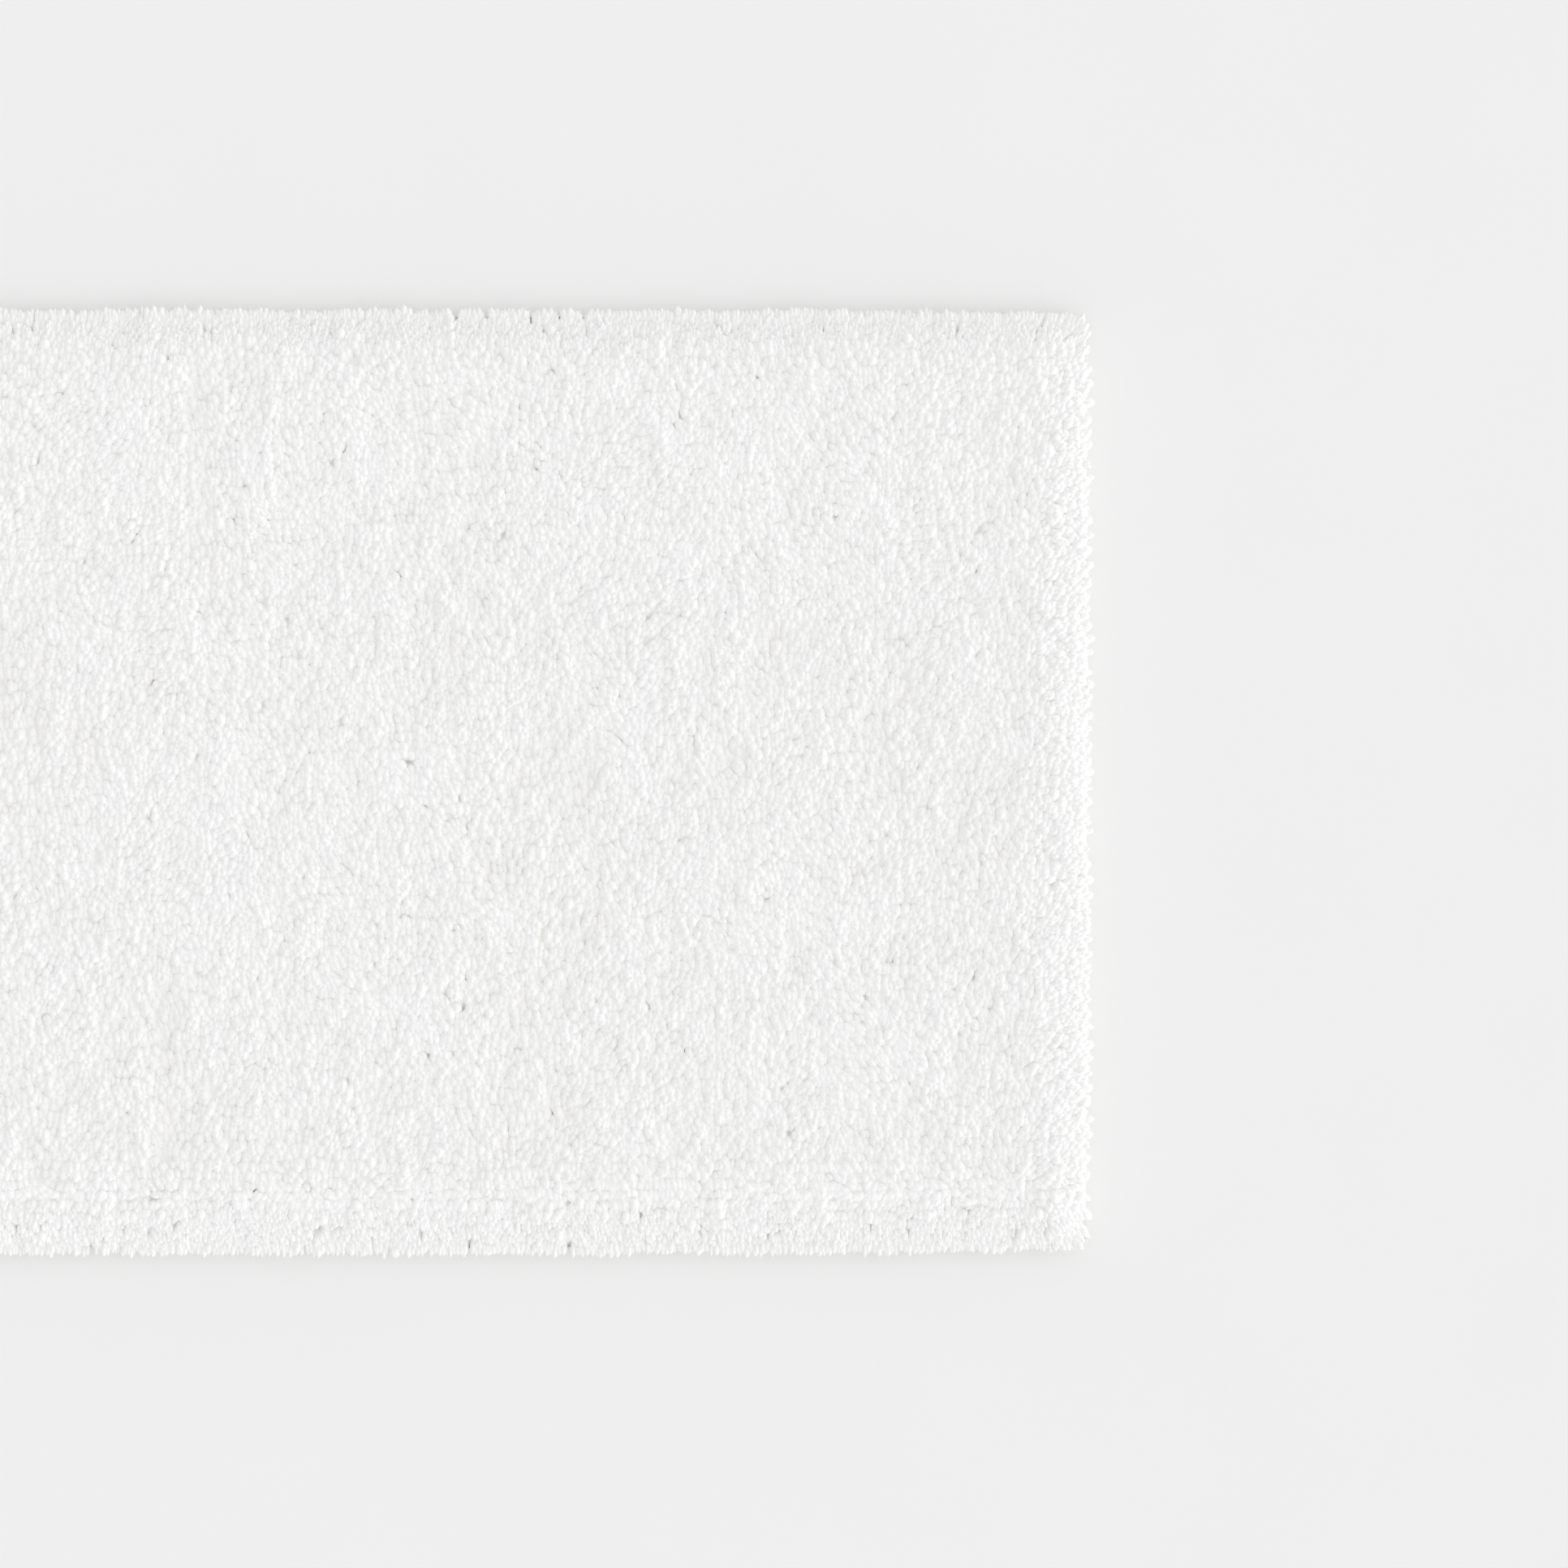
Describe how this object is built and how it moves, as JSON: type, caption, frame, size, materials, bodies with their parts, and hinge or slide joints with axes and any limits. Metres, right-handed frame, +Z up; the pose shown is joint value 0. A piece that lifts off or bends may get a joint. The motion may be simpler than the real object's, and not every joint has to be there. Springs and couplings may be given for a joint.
{
  "type": "bath mat",
  "caption": "Rectangular plush cut-pile bath mat on a woven backing, with a latex back, a turned and taped hem and grip dots underneath.",
  "frame": {"origin": "under the middle of the mat, on the floor plane that it lies on", "axes": "+X along the length, +Y across the width, +Z up through the pile"},
  "size_m": [0.864, 0.508, 0.02],
  "materials": {
    "pile_yarn": "soft white cut pile, matt",
    "backing_cloth": "undyed plain weave",
    "latex": "sprayed latex, slightly glossy",
    "grip_latex": "moulded latex dots, satin",
    "hem_tape": "white herringbone twill tape",
    "hem_thread": "white spun polyester thread",
    "label_satin": "blank white satin ribbon"
  },
  "bodies": {
    "root": {"pile_rows": "pile_yarn", "back_stitches": "pile_yarn", "primary_backing": "backing_cloth", "latex_coat": "latex", "grip_dots": "grip_latex", "hem_tape_front": "hem_tape", "hem_tape_back": "hem_tape", "hem_tape_left": "hem_tape", "hem_tape_right": "hem_tape", "outer_bobbin_thread": "hem_thread", "outer_needle_thread": "hem_thread", "inner_bobbin_thread": "hem_thread", "inner_needle_thread": "hem_thread", "care_label": "label_satin"}
  },
  "joints": []
}
